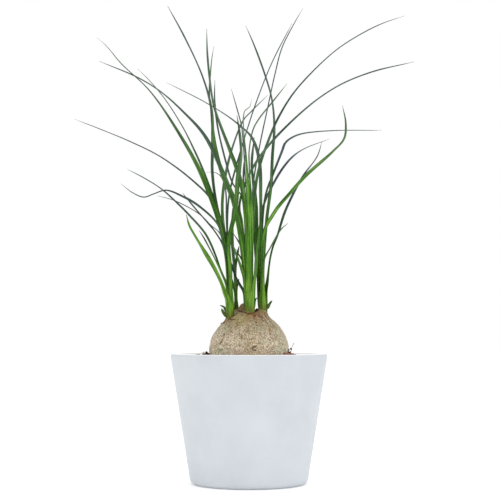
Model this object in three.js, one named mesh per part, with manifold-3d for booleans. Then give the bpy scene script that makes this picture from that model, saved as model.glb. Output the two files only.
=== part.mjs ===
// A young ponytail palm in a plain tapered pot: four leafy shoots on one swollen stem base.
// Millimetres, +Z up, +Y away from the viewer. The origin is the centre of the pot's underside.
import * as THREE from 'three';
import { mergeVertices } from 'three/addons/utils/BufferGeometryUtils.js';
import Module from 'manifold-3d';

const wasm = await Module();
wasm.setup();

// Driving dimensions.
const POT_HEIGHT = 116;
const RIM_RADIUS = 70.3;
const FOOT_RADIUS = 52.2;
const POT_WALL = 4;
const BULB_RADIUS = 35.6;
const BULB_LIFT = 2.8; // from the rim up to the bulb's widest place
const SOIL_DROP = 8; // from the rim down to the soil's edge
const FIT = 0.3; // the gap between pieces that touch

// Worked out from them.
const LIP_RADIUS = 0.7 * POT_WALL;
const FOOT_CORNER = 1.5 * POT_WALL;
const INNER_LIP = 0.25 * POT_WALL;
const INNER_CORNER = 0.7 * FOOT_CORNER;
const POT_FLOOR = 1.25 * POT_WALL;
const BULB_CENTRE = POT_HEIGHT + BULB_LIFT;
const BULB_TOP = BULB_CENTRE + 0.966 * BULB_RADIUS;
const BULB_BOTTOM = BULB_CENTRE - BULB_RADIUS;
const SOIL_EDGE = POT_HEIGHT - SOIL_DROP;
const SOIL_CROWN = SOIL_EDGE + 5.3;

// Sides of the round pieces.
const POT_SIDES = 48;
const SOIL_SIDES = 36;
const BULB_SIDES = 32;
const SHOOT_SIDES = 16;

// How much narrower than a ball the bulb is at its top, and the low waves of the soil's surface.
const NECK_TAPER = 0.045;
const SOIL_WAVES = { alongX: 7, alongY: 9, height: 4 };

// A shoot's core: a plug that reaches below the shoot's foot, and narrows upwards inside the sheaths.
// The radii are parts of the shoot's radius.
const CORE = { depth: 5, rise: 24, plugRadius: 0.9, topRadius: 0.4 };
const COLLAR_DEPTH = 14;

// The viewpoint from which the leaf paths below are drawn.
const EYE = { x: 0.9, z: 145, distance: 1262 };

// Leaf blades. A blade's section is an arc, given by half its angle in radians. It is wrapped round the
// shoot in the sheath and opens over a length that is at most the given part of the blade's.
const BLADE = {
  thickness: 0.8,
  rootBreadth: 0.62,
  rootPart: 0.6,
  tipBreadth: 2.5,
  tipPart: 0.1,
  tipEnd: 0.9,
  sheathCurl: 1.3,
  openCurl: 0.45,
  openPart: 0.4,
  slantAt: 0.45,
  rootDepth: 3.6,
  rootSheath: 0.68,
  rootRun: 11,
  sectionSpacing: 18,
  sectionsPerPoint: 1.35,
};

// A shoot's sheaths stand this part of its radius from its middle. Those of leaves that leave the
// shoot higher up stand further in, by up to the nesting.
const SHEATH = { outer: 0.84, nesting: 0.32, nestingFrom: 15, nestingRise: 60, bract: 0.7, bractOpens: 4 };

const COLOURS = {
  pot: 0xd9dee3,
  soil: 0x5a4334,
  bulb: 0xa39880,
  leaf: 0x5c8a2e,
};

// A shoot stands in a hole in the bulb, with a collar of bark round the hole. Its sheaths open over
// the length "opens". Each leaf is [tip depth, width, slant, hold, then x, z, x, z ... as seen from the
// front, from where it leaves the shoot to its tip]. The slant is the angle in degrees between the
// middle of its face and the line of sight: 0 shows the whole face and 90 the edge. The leaf keeps its
// width over the part "hold" of its length. A bract is written the same way.
const SHOOTS = [
  {
    name: 'shoot_left',
    foot: [-16.8, -7, 150.8],
    radius: 5.5,
    opens: 36,
    leaves: [
      [25, 5.6, 35, 0.3, -19.4, 179, -22, 209, -29, 239, -43.5, 279, -65, 318, -90, 354, -116, 379, -130,
        395, -138, 402],
      [60, 4.4, 55, 0.45, -18.4, 184, -21, 211, -27.6, 240, -41, 279, -50.5, 301, -60, 320, -75, 344, -91,
        363.5, -101, 373.5],
      [45, 4.4, 66, 0.8, -19, 189, -24, 224, -34, 253.5, -50, 270.5, -80, 293, -110, 308, -140, 320.5,
        -158, 327.5],
      [85, 4.4, 55, 0.6, -18, 194, -22, 224, -29, 247, -33.5, 279, -33.3, 309, -34.5, 337, -43, 368, -60,
        405, -74, 431],
      [-45, 4, 64, 0.75, -21, 180, -24, 186, -27, 192.6, -30.6, 202.8, -40, 223, -55, 240.5, -65, 251,
        -80, 264.5, -95, 274, -110, 282],
      [-20, 3, 60, 0.6, -20.5, 175, -26, 190, -31, 201, -37, 212.5, -41, 220, -45, 226.5],
      [-60, 4.5, 35, 0.6, -19.6, 163, -22.2, 170.4, -24.6, 177, -30.6, 189.7, -41, 207.5, -50, 222.5,
        -54.5, 231, -57, 241],
      [-30, 4.2, 64, 0.65, -20, 184, -23, 211, -28, 231, -45, 248, -60, 257, -75, 262.8, -86, 259.5, -95,
        256.5, -105, 260.5, -116, 269],
      [35, 3.4, 58, 0.7, -20, 184, -23.5, 212, -30, 224, -38, 234, -48, 245.5, -55, 254, -60, 260.5],
      [60, 3.4, 65, 0.7, -20, 184, -23, 214, -27, 224.5, -35, 231.5, -44, 240.5, -55, 247.5, -70, 254.5,
        -83, 258],
      [-60, 5, 35, 0.7, -16.6, 189, -18.2, 214, -16, 227, -13, 240, -11, 255, -10.3, 267, -8.5, 284, -7,
        297, -9, 319, -11, 331],
      [75, 4, 60, 0.75, -17.6, 194, -19.3, 231, -17.8, 257, -14, 275, -7, 300, -2.5, 315, 6, 341, 20, 377,
        39, 415],
      [100, 4.6, 50, 0.6, -18.6, 189, -20.4, 214, -23, 234, -23.8, 249, -22, 270, -16.5, 296, -9, 318, -4,
        328, 2, 334.2, 6, 338.5, 17, 349.5],
      [104, 2.4, 60, 0.7, -18, 194, -19.8, 219, -20.6, 239, -20.8, 257, -22.5, 269, -27, 277, -33, 279.5,
        -39, 279],
    ],
    bracts: [
      [-9, 2.4, 30, 0.5, -20.8, 151, -21.4, 154.6, -22.8, 157.6, -26.3, 159],
      [-14, 2.6, 10, 0.6, -18.4, 151.4, -20.6, 152.2, -23.1, 153.6, -24.7, 156.6],
    ],
  },
  {
    name: 'shoot_back_left',
    foot: [-11, 9, 156],
    radius: 2.5,
    opens: 16,
    leaves: [
      [25, 2.5, 40, 0.6, -12.3, 184, -11.3, 199, -9, 212.5],
      [15, 2, 60, 0.6, -11, 169, -10.5, 176, -9, 183],
      [14, 2.4, 40, 0.6, -12.5, 169, -14.5, 177.5, -16.8, 186],
      [70, 3, 45, 0.7, -12.2, 177, -13.2, 192, -14.6, 206, -15.6, 221, -14.8, 239, -12.6, 256],
    ],
    bracts: [],
  },
  {
    name: 'shoot_centre',
    foot: [0.7, -9.5, 155.2],
    radius: 5.1,
    opens: 50,
    leaves: [
      [-85, 6.5, 25, 0.45, -0.2, 199, 0, 239, -0.8, 267, -2.5, 291, -4.8, 317, -5, 330, -3.5, 335.7, 0.5,
        338.5, 2.5, 346],
      [-60, 4, 50, 0.55, 3, 199, 2.8, 244, 0.5, 284, 0.3, 299, 4, 318.5, 10, 329, 20, 341.5, 34.5, 360],
      [-30, 5.2, 55, 0.35, 3.4, 199, 4.6, 244, 8.3, 278, 19, 311, 27, 329, 40, 351, 60, 374, 80, 392, 100,
        405, 120, 415, 141, 422],
      [-70, 5.4, 40, 0.35, -2.4, 199, -3.4, 239, -8, 271, -17.5, 299, -25, 319, -32, 340, -36, 366, -38,
        389, -38.5, 410],
      [-45, 7, 25, 0.35, -3.6, 184, -7.6, 221, -14.2, 254, -25, 280, -31.5, 307, -34.5, 337, -36, 351,
        -34, 381, -32, 394],
      [-75, 5.5, 55, 0.5, -3, 189, -7, 224, -13.2, 249, -22.5, 275, -40, 312.5, -60, 335, -80, 353, -100,
        365.5, -136, 380.5],
      [20, 3.2, 65, 0.7, -1, 214, -5, 254, -15, 269, -20.5, 286, -28.5, 320, -31.3, 344, -31, 363],
      [70, 3, 65, 0.7, -2, 214, -3, 249, -5.2, 273, -3.8, 295],
      [10, 3, 40, 0.6, -5, 171.6, -7.8, 176.4, -10.8, 181.8, -12.9, 186.6, -16.5, 198.7],
      [-20, 4, 40, 0.6, -4.2, 179, -4.9, 185, -7.2, 192.6, -9.9, 200.5, -12.6, 207, -15.5, 216],
      [-14, 2.4, 50, 0.6, -3.6, 187, -4.6, 195.6, -6.6, 199.8, -9.6, 205.2, -12, 210],
      [5, 3, 55, 0.6, -4.4, 189, -7.1, 210.3, -8.6, 214.3, -11.6, 219.8, -14.1, 223.9],
      [-85, 4.4, 62, 0.55, -2.4, 194, -6, 234, -8.4, 248, -2.3, 270.6, 12, 297, 50, 337, 80, 358.5, 110,
        371, 150, 380.5],
      [75, 3.8, 66, 0.7, 2.4, 214, 4, 267, 10, 304, 17, 337.5, 24, 370, 30, 392.5, 40, 413, 49, 429],
      [95, 3, 66, 0.7, -1, 219, -4, 284, -5.8, 311, -7, 322, -10, 333.5, -16, 355],
      [-24, 3.6, 35, 0.6, 4.6, 175, 6, 189, 7, 203, 8.5, 219, 10, 235],
    ],
    bracts: [
      [-13, 2.4, 40, 0.5, 5.2, 160, 5.6, 163, 6.2, 164.8, 7.8, 166.2],
    ],
  },
  {
    name: 'shoot_right',
    foot: [12.4, 1, 156.4],
    radius: 5.2,
    opens: 46,
    leaves: [
      [20, 4.6, 45, 0.5, 13, 199, 15.6, 236, 19.5, 267, 20.8, 294, 22.7, 321, 20.5, 346, 15, 366, 5, 394,
        -3, 413],
      [100, 4.4, 50, 0.5, 9.6, 199, 10.2, 254, 8.5, 292, 2, 311, -8.5, 321.5, -20, 330.5, -40, 343, -60,
        353.5, -75, 361],
      [30, 4, 64, 0.85, 12, 214, 15.3, 258, 22.5, 278.5, 30.5, 299, 33, 305.5, 39, 310.5, 48, 314, 75,
        317.3, 120, 317.8],
      [85, 4, 62, 0.8, 11.5, 214, 12.5, 245, 19.5, 263, 30, 283, 40, 294.5, 50, 301.3, 73, 310],
      [-40, 4.4, 42, 0.72, 12.2, 199, 13, 219, 15.5, 230, 20.5, 238.5, 26, 247, 35, 258.8, 50, 276, 75,
        299, 85.5, 310.5, 89, 324, 85.5, 339],
      [35, 3.8, 64, 0.8, 16, 171, 17, 179, 18, 191, 19.5, 202, 22, 212, 26, 222, 32.4, 242.3, 40, 259, 50,
        277, 62, 294, 66, 307],
      [-15, 3, 58, 0.6, 13.4, 198, 20, 212, 25.6, 222.3, 30, 228.5, 35, 233],
      [60, 5.5, 15, 0.6, 9, 184, 6.8, 204, 6, 229, 4.8, 262, 2.5, 286, 4.7, 311],
      [-12, 3.6, 30, 0.55, 11.6, 184, 11.2, 204, 10.6, 221, 10.9, 237],
    ],
    bracts: [
      [-3, 4.2, 15, 0.5, 14.8, 156.8, 16.8, 159, 18.7, 161, 20.9, 163.4],
    ],
  },
];

// The dry stump between the shoots: an upright egg with its centre, radius, top and half height.
const STUMP = { x: -3.9, y: 5, radius: 6.6, top: 161.4, rise: 10.2 };

// Crumbs on the soil that stand proud of it: x, y, size.
const CRUMBS = [
  [-37.5, -8, 2.8], [-40, -3, 2.9], [-46, 6, 3], [-40, 10, 2.6], [33, -16, 3.6], [36, -10, 3.9],
  [38, -14, 3.4], [39.6, -8, 2.9], [41, 8, 2.4], [-50, -20, 2.4], [50, 14, 2.6], [14, -50, 2.6],
  [-18, -49, 2.8], [-8, 48, 3], [22, 45, 2.6], [-30, 40, 2.8], [44, -30, 2.6], [-34, -38, 2.6],
  [3, 55, 2.4],
];

const { clamp, lerp, degToRad, radToDeg } = THREE.MathUtils;

function smoothStep(value) {
  const part = clamp(value, 0, 1);
  return part * part * (3 - 2 * part);
}

function solidOf(geometry) {
  const bare = geometry.index ? geometry.clone() : mergeVertices(geometry.clone());
  bare.deleteAttribute('normal');
  bare.deleteAttribute('uv');
  const merged = mergeVertices(bare, 1e-4);
  const vertProperties = new Float32Array(merged.attributes.position.array);
  const triVerts = new Uint32Array(merged.index.array);
  return new wasm.Manifold(new wasm.Mesh({ numProp: 3, vertProperties, triVerts }));
}

// The solid's outer body, with any hollow that joining sealed filled.
function geometryOf(solid) {
  const whole = solid.decompose().reduce((a, b) => (a.volume() > b.volume() ? a : b));
  const mesh = whole.getMesh();
  const geometry = new THREE.BufferGeometry();
  geometry.setAttribute('position', new THREE.BufferAttribute(new Float32Array(mesh.vertProperties), 3));
  geometry.setIndex(new THREE.BufferAttribute(new Uint32Array(mesh.triVerts), 1));
  geometry.computeVertexNormals();
  return geometry;
}

function meshOf(name, geometry, color, roughness) {
  const material = new THREE.MeshStandardMaterial({ color, roughness, metalness: 0 });
  const mesh = new THREE.Mesh(geometry, material);
  mesh.name = name;
  return mesh;
}

// A turned solid about the Z axis from [radius, height] points that start and end on the axis.
function turned(profile, segments) {
  const points = profile.map(([radius, height]) => new THREE.Vector2(radius, height));
  return new THREE.LatheGeometry(points, segments).rotateX(Math.PI / 2);
}

function arc(centreRadius, centreHeight, radius, from, to, steps) {
  return Array.from({ length: steps + 1 }, (_, i) => {
    const angle = degToRad(from + ((to - from) * i) / steps);
    return [centreRadius + radius * Math.cos(angle), centreHeight + radius * Math.sin(angle)];
  });
}

// The pot's outer and inner radius at a height.
const potTaper = (RIM_RADIUS - FOOT_RADIUS) / (POT_HEIGHT - LIP_RADIUS);
const potOuter = (height) => FOOT_RADIUS + potTaper * height;
const potInner = (height) => potOuter(height) - POT_WALL;

function potGeometry() {
  const lean = radToDeg(Math.atan(potTaper));
  const lipCentre = RIM_RADIUS - LIP_RADIUS;
  const cornerCentre = potOuter(FOOT_CORNER) - FOOT_CORNER;
  const innerCentre = potInner(POT_FLOOR + INNER_CORNER) - INNER_CORNER;
  const profile = [
    [0, 0],
    ...arc(cornerCentre, FOOT_CORNER, FOOT_CORNER, -90, -lean, 5),
    ...arc(lipCentre, POT_HEIGHT - LIP_RADIUS, LIP_RADIUS, -lean, 90, 4),
    ...arc(potInner(POT_HEIGHT) + INNER_LIP, POT_HEIGHT - INNER_LIP, INNER_LIP, 90, 180, 2),
    ...arc(innerCentre, POT_FLOOR + INNER_CORNER, INNER_CORNER, -lean, -90, 3),
    [0, POT_FLOOR],
  ];
  return turned(profile, POT_SIDES);
}

// The bulb's outline: round below, drawn in a little towards the neck; grown by a gap for the soil.
function bulbOutline(gap) {
  const steps = 16;
  const points = Array.from({ length: steps - 1 }, (_, i) => {
    const angle = -Math.PI / 2 + (Math.PI * (i + 1)) / steps;
    const neck = 1 - NECK_TAPER * Math.max(Math.sin(angle), 0) ** 1.5;
    const height = angle > 0 ? BULB_TOP - BULB_CENTRE : BULB_CENTRE - BULB_BOTTOM;
    return [
      (BULB_RADIUS * neck + gap) * Math.cos(angle),
      BULB_CENTRE + (height + gap) * Math.sin(angle),
    ];
  });
  return [[0, BULB_BOTTOM - gap], ...points, [0, BULB_TOP + gap]];
}

function cylinderAt(x, y, radiusTop, radiusBottom, bottom, top) {
  const cylinder = new THREE.CylinderGeometry(radiusTop, radiusBottom, top - bottom, SHOOT_SIDES);
  return cylinder.rotateX(Math.PI / 2).translate(x, y, (top + bottom) / 2);
}

function bulbGeometry() {
  let bulb = solidOf(turned(bulbOutline(0), BULB_SIDES));
  const stump = new THREE.SphereGeometry(1, 14, 10).rotateX(Math.PI / 2);
  stump.scale(STUMP.radius, STUMP.radius, STUMP.rise).translate(STUMP.x, STUMP.y, STUMP.top - STUMP.rise);
  bulb = bulb.add(solidOf(stump));
  for (const { foot, radius } of SHOOTS) {
    const [x, y, height] = foot;
    const collar = radius + 5 * FIT;
    bulb = bulb.add(solidOf(cylinderAt(x, y, collar, 1.3 * collar, height - COLLAR_DEPTH, height)));
  }
  for (const { foot, radius } of SHOOTS) {
    const [x, y, height] = foot;
    const hole = radius + 2 * FIT;
    bulb = bulb.subtract(solidOf(cylinderAt(x, y, hole, hole, height - CORE.depth - FIT, BULB_TOP + 10)));
  }
  return geometryOf(bulb);
}

// The soil's surface: highest round the bulb, with low waves, down to the pot's wall.
function soilHeight(x, y) {
  const radius = Math.hypot(x, y);
  const out = clamp((radius - BULB_RADIUS) / (potInner(SOIL_EDGE) - BULB_RADIUS), 0, 1);
  const waves = Math.sin(x / SOIL_WAVES.alongX + 1) * Math.cos(y / SOIL_WAVES.alongY);
  return lerp(SOIL_CROWN, SOIL_EDGE, out) + SOIL_WAVES.height * waves * out * (1 - out);
}

function soilGeometry() {
  const bottom = POT_FLOOR + FIT;
  const wall = potInner(bottom + INNER_CORNER) - FIT;
  const edgeRadius = potInner(SOIL_EDGE) - FIT;
  const rings = [1, 0.75, 0.5, 0.25, 0].map((t) => lerp(BULB_RADIUS, edgeRadius, t));
  const profile = [
    [0, bottom],
    [wall - INNER_CORNER, bottom],
    [wall, bottom + INNER_CORNER],
    ...rings.map((radius) => [radius, SOIL_CROWN]),
    [0, SOIL_CROWN],
  ];
  const soil = turned(profile, SOIL_SIDES);
  const position = soil.attributes.position;
  for (let i = 0; i < position.count; i++) {
    if (Math.abs(position.getZ(i) - SOIL_CROWN) < 1e-3) {
      position.setZ(i, soilHeight(position.getX(i), position.getY(i)));
    }
  }
  let solid = solidOf(soil);
  for (const [x, y, size] of CRUMBS) {
    const crumb = new THREE.IcosahedronGeometry(size, 0);
    crumb.rotateZ(x).rotateX(y).scale(1, 1, 0.8).translate(x, y, soilHeight(x, y) + 0.4 * size);
    solid = solid.add(solidOf(crumb));
  }
  return geometryOf(solid.subtract(solidOf(turned(bulbOutline(FIT), BULB_SIDES))));
}

// Moves a point drawn at the plane y = 0 along its line of sight to the depth y.
function atDepth(x, z, y) {
  const spread = 1 + y / EYE.distance;
  return new THREE.Vector3(EYE.x + (x - EYE.x) * spread, y, EYE.z + (z - EYE.z) * spread);
}

// The leaf's middle line: it rises with the shoot, then moves away to its tip's depth.
function leafLine(leaf, shoot, sheath) {
  const [depth, , , , ...drawn] = leaf;
  const [footX, footY, footZ] = shoot.foot;
  const heading = Math.atan2(depth - footY, drawn.at(-2) - footX);
  const outward = new THREE.Vector3(Math.cos(heading), Math.sin(heading), 0);
  const points = [new THREE.Vector3(footX + sheath * outward.x, 0, footZ - BLADE.rootDepth)];
  for (let i = 0; i < drawn.length; i += 2) {
    points.push(new THREE.Vector3(drawn[i], 0, drawn[i + 1]));
  }
  const curve = new THREE.CatmullRomCurve3(points, false, 'centripetal');
  const byLength = curve.getLength() / BLADE.sectionSpacing;
  const count = Math.round(Math.max(byLength, BLADE.sectionsPerPoint * points.length));
  const rootY = footY + sheath * outward.y;
  const line = curve.getSpacedPoints(count).map((point, i) => {
    const along = i / count;
    return atDepth(point.x, point.z, rootY + (depth - rootY) * along ** 1.7);
  });
  return { line, outward };
}

// The turn about its middle line that shows the blade's face at its slant, the short way round.
function faceTurn(forward, face, slant) {
  const across = new THREE.Vector3().crossVectors(forward, face);
  const toFace = Math.atan2(-across.y, -face.y);
  const wanted = degToRad(slant);
  const turns = [-1, 0, 1].flatMap((half) => [
    toFace + wanted + half * Math.PI,
    toFace - wanted + half * Math.PI,
  ]);
  return turns.reduce((a, b) => (Math.abs(a) < Math.abs(b) ? a : b));
}

// One leaf or bract: a channelled blade, wrapped round the shoot at its root, flatter towards its tip.
function bladeSolid(leaf, shoot, sheath, opens) {
  const [, width, slant, hold] = leaf;
  const { line, outward } = leafLine(leaf, shoot, sheath);
  const last = line.length - 1;
  const forwards = line.map((_, i) => {
    const before = line[Math.max(i - 1, 0)];
    const after = line[Math.min(i + 1, last)];
    return after.clone().sub(before).normalize();
  });
  const face = outward.clone().negate();
  const faces = forwards.map((forward) => {
    face.addScaledVector(forward, -face.dot(forward)).normalize();
    return face.clone();
  });
  const middle = Math.round(BLADE.slantAt * last);
  const turn = faceTurn(forwards[middle], faces[middle], slant);
  const runs = line.map((_, i) => (i ? line[i].distanceTo(line[i - 1]) : 0));
  const length = runs.reduce((a, b) => a + b, 0);
  const opening = Math.min(opens, BLADE.openPart * length);
  const vertices = [];
  let run = 0;
  line.forEach((middlePoint, i) => {
    const along = i / last;
    run += runs[i];
    const root = lerp(BLADE.rootSheath, 1, smoothStep(run / BLADE.rootRun));
    const point = middlePoint.clone().addScaledVector(outward, -sheath * (1 - root));
    const opened = smoothStep(run / opening);
    const forward = forwards[i];
    const across = new THREE.Vector3().crossVectors(forward, faces[i]);
    const angle = turn * opened * Math.sin(Math.PI * along) ** 0.6;
    const up = faces[i].clone().multiplyScalar(Math.cos(angle)).addScaledVector(across, Math.sin(angle));
    const right = new THREE.Vector3().crossVectors(forward, up);
    const curl = lerp(BLADE.sheathCurl, BLADE.openCurl, opened);
    const taper = (1 - clamp((along - hold) / (1 - hold), 0, 1)) ** 1.25;
    const rooted = lerp(BLADE.rootBreadth, 1, smoothStep(along / BLADE.rootPart));
    const tip = Math.min(BLADE.tipBreadth, width) * clamp((1 - along) / BLADE.tipPart, 0, 1) ** 0.7;
    const blade = Math.max(width * taper * rooted, tip, BLADE.tipEnd);
    const breadth = lerp(2 * BLADE.sheathCurl * sheath * root, blade, opened);
    const bend = breadth / (2 * curl);
    for (const lower of [0, 1]) {
      for (const edge of [-1, 0, 1]) {
        const lift = bend * (1 - Math.cos(edge * curl)) - lower * BLADE.thickness;
        const reach = bend * Math.sin(edge * curl);
        vertices.push(point.clone().addScaledVector(right, reach).addScaledVector(up, lift));
      }
    }
  });
  return solidOf(bladeGeometry(vertices, last));
}

// Joins sections of six vertices, three on the upper face and three on the lower, and closes the ends.
function bladeGeometry(vertices, last) {
  const ring = [0, 1, 2, 5, 4, 3];
  const index = [];
  for (let i = 0; i < last; i++) {
    ring.forEach((from, k) => {
      const to = ring[(k + 1) % 6];
      const here = 6 * i;
      const next = here + 6;
      const lower = k > 2;
      if (lower) {
        index.push(here + from, here + to, next + from, next + from, here + to, next + to);
      } else {
        index.push(here + from, here + to, next + to, here + from, next + to, next + from);
      }
    });
  }
  const end = 6 * last;
  index.push(0, 3, 1, 1, 3, 4, 1, 4, 2, 2, 4, 5);
  index.push(end, end + 1, end + 3, end + 1, end + 4, end + 3);
  index.push(end + 1, end + 2, end + 4, end + 2, end + 5, end + 4);
  const geometry = new THREE.BufferGeometry().setFromPoints(vertices);
  geometry.setIndex(index);
  return geometry;
}

function shootGeometry(shoot) {
  const [x, y, height] = shoot.foot;
  const { radius, opens } = shoot;
  const plug = CORE.plugRadius * radius;
  const core = cylinderAt(x, y, CORE.topRadius * radius, plug, height - CORE.depth, height + CORE.rise);
  let solid = solidOf(core);
  for (const leaf of shoot.leaves) {
    const above = leaf[5] - height - SHEATH.nestingFrom;
    const inward = SHEATH.nesting * clamp(above / SHEATH.nestingRise, 0, 1);
    solid = solid.add(bladeSolid(leaf, shoot, radius * (SHEATH.outer - inward), opens));
  }
  for (const bract of shoot.bracts) {
    solid = solid.add(bladeSolid(bract, shoot, radius * SHEATH.bract, SHEATH.bractOpens));
  }
  return geometryOf(solid);
}

const group = new THREE.Group();
group.add(meshOf('pot', potGeometry(), COLOURS.pot, 0.55));
group.add(meshOf('soil', soilGeometry(), COLOURS.soil, 0.95));
group.add(meshOf('bulb', bulbGeometry(), COLOURS.bulb, 0.85));
for (const shoot of SHOOTS) {
  group.add(meshOf(shoot.name, shootGeometry(shoot), COLOURS.leaf, 0.45));
}

export default group;
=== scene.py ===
"""A young ponytail palm in a plain tapered pot: bark, soil, leaves and light.

The scene is in metres, +Z up, +Y away from the viewer. Sizes of the plant and its pot are in millimetres,
which MM turns into metres.
"""

import math
import random

import bpy
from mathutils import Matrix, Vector, noise


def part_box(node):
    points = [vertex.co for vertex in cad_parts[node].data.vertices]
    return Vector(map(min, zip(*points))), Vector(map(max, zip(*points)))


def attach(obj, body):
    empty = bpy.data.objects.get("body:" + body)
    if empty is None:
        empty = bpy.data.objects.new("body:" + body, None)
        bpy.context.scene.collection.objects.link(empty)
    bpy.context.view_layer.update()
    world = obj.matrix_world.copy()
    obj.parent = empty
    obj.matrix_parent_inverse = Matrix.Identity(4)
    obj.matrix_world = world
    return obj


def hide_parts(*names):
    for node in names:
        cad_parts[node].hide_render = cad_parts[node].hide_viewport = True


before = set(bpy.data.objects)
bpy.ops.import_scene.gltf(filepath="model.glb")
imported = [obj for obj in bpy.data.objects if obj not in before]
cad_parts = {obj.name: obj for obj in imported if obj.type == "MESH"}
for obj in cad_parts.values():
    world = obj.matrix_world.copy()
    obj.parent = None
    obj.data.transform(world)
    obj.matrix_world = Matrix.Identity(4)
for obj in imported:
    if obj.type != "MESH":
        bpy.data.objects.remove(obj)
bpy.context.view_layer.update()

MM = 0.001

# The viewpoint of the photograph. Leaf paths and bark marks are drawn as seen from it, at the plane y = 0.
EYE_X = 0.9
EYE_Z = 145.0
EYE_DISTANCE = 1262.0
EYE_TILT_DEG = 2.9
EYE_LENS = 100.92
EYE_SENSOR = 36.0

# The pot, bulb and soil, in millimetres, as in the frame. Fit is the gap between soil and pot.
POT_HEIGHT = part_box("pot")[1].z / MM
RIM_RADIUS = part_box("pot")[1].x / MM
FOOT_RADIUS = 52.2
POT_WALL = 4.0
LIP_RADIUS = 0.7 * POT_WALL
FOOT_CORNER = 1.5 * POT_WALL
INNER_LIP = 0.25 * POT_WALL
INNER_CORNER = 0.7 * FOOT_CORNER
POT_FLOOR = 1.25 * POT_WALL
POT_TAPER = (RIM_RADIUS - FOOT_RADIUS) / (POT_HEIGHT - LIP_RADIUS)
BULB_RADIUS = 35.6
BULB_CENTRE = POT_HEIGHT + 2.8
BULB_RISE = 0.966 * BULB_RADIUS
NECK_TAPER = 0.045
SOIL_EDGE = POT_HEIGHT - 8.0
SOIL_CROWN = SOIL_EDGE + 5.3
FIT = 0.3

# Steps of the pot's wall and of the soil's surface, and the sides of both.
WALL_STEPS = 24
SOIL_STEPS = 34
POT_SIDES = 160
SOIL_SIDES = 190

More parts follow.
